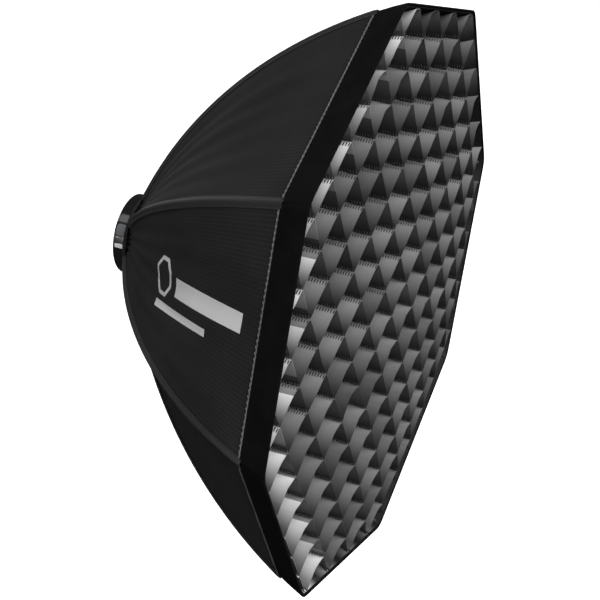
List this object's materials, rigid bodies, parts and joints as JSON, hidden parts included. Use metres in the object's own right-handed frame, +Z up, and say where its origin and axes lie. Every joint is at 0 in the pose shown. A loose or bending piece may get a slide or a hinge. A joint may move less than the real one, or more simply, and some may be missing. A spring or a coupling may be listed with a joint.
{
  "type": "octabox",
  "caption": "Eight-sided softbox on a rotating speedring, with bowed rods, cloth panels, inner baffle, front diffuser and honeycomb fabric grid.",
  "frame": {"origin": "centre of the speedring's rear face, on the axis of the lamp head", "axes": "+Y along the axis towards the lamp head and -Y towards the lit front, +Z up, +X to the right as seen from the front"},
  "size_m": [0.9, 0.462, 0.9],
  "materials": {
    "gloss_black": "moulded glass-filled nylon, glossy black",
    "pad_grey": "dark grey moulded thumb pad, fine matt grain",
    "turned_aluminium": "turned and bead-blasted",
    "zinc_steel": "zinc plated",
    "grip_rubber": "ribbed black rubber",
    "fibreglass": "pultruded fibreglass rod",
    "tip_plastic": "moulded black end caps",
    "shell_cloth": "black ripstop cloth, light-tight",
    "silver_lining": "silver reflective coating on the inside of the shell",
    "webbing": "black woven tape with edge stitching",
    "rim_cloth": "matt black brushed loop cloth",
    "piping": "grey-brown folded seam edge",
    "elastic": "black knitted elastic",
    "thread": "black sewing thread",
    "diffuser_cloth": "white translucent diffuser cloth",
    "grid_cloth": "black coated nylon strips, satin",
    "white_print": "plain white pad print"
  },
  "bodies": {
    "head_adapter": {"insert_ring": "turned_aluminium", "grip_liner": "grip_rubber", "retaining_ring": "turned_aluminium", "retainer_screw_1": "zinc_steel", "retainer_screw_2": "zinc_steel", "retainer_screw_3": "zinc_steel", "retainer_screw_4": "zinc_steel"},
    "octabox": {"carrier_ring": "gloss_black", "rod_socket_1": "zinc_steel", "rod_socket_2": "zinc_steel", "rod_socket_3": "zinc_steel", "rod_socket_4": "zinc_steel", "rod_socket_5": "zinc_steel", "rod_socket_6": "zinc_steel", "rod_socket_7": "zinc_steel", "rod_socket_8": "zinc_steel", "rod_1": "fibreglass", "rod_2": "fibreglass", "rod_3": "fibreglass", "rod_4": "fibreglass", "rod_5": "fibreglass", "rod_6": "fibreglass", "rod_7": "fibreglass", "rod_8": "fibreglass", "rod_tip_1": "tip_plastic", "rod_tip_2": "tip_plastic", "rod_tip_3": "tip_plastic", "rod_tip_4": "tip_plastic", "rod_tip_5": "tip_plastic", "rod_tip_6": "tip_plastic", "rod_tip_7": "tip_plastic", "rod_tip_8": "tip_plastic", "shell_panel_1": "shell_cloth", "shell_panel_2": "shell_cloth", "shell_panel_3": "shell_cloth", "shell_panel_4": "shell_cloth", "shell_panel_5": "shell_cloth", "shell_panel_6": "shell_cloth", "shell_panel_7": "shell_cloth", "shell_panel_8": "shell_cloth", "rod_sleeve_1": "webbing", "rod_sleeve_2": "webbing", "rod_sleeve_3": "webbing", "rod_sleeve_4": "webbing", "rod_sleeve_5": "webbing", "rod_sleeve_6": "webbing", "rod_sleeve_7": "webbing", "rod_sleeve_8": "webbing", "hem_elastic": "elastic", "rim_band": "rim_cloth"},
    "lock_button": {"lock_button": "pad_grey"},
    "baffle": {"inner_baffle": "diffuser_cloth"},
    "diffuser": {"diffuser_border": "rim_cloth", "front_diffuser": "diffuser_cloth"},
    "grid": {"grid_border": "rim_cloth", "grid_lattice": "grid_cloth"}
  },
  "joints": [
    {"name": "ring_swivel", "type": "hinge", "parent": "head_adapter", "child": "octabox", "pos_m": [0, 0, 0], "axis": [0, 1, 0], "continuous": true},
    {"name": "button_press", "type": "slide", "parent": "octabox", "child": "lock_button", "axis": [0.9744, 0, -0.225], "range_m": [0, 0.0015], "stiffness_N_per_m": 600, "springref_m": -0.001},
    {"name": "baffle_pull", "type": "slide", "parent": "octabox", "child": "baffle", "axis": [0, -1, 0], "range_m": [0, 0.26]},
    {"name": "diffuser_pull", "type": "slide", "parent": "baffle", "child": "diffuser", "axis": [0, -1, 0], "range_m": [0, 0.1]},
    {"name": "grid_pull", "type": "slide", "parent": "diffuser", "child": "grid", "axis": [0, -1, 0], "range_m": [0, 0.1]}
  ]
}
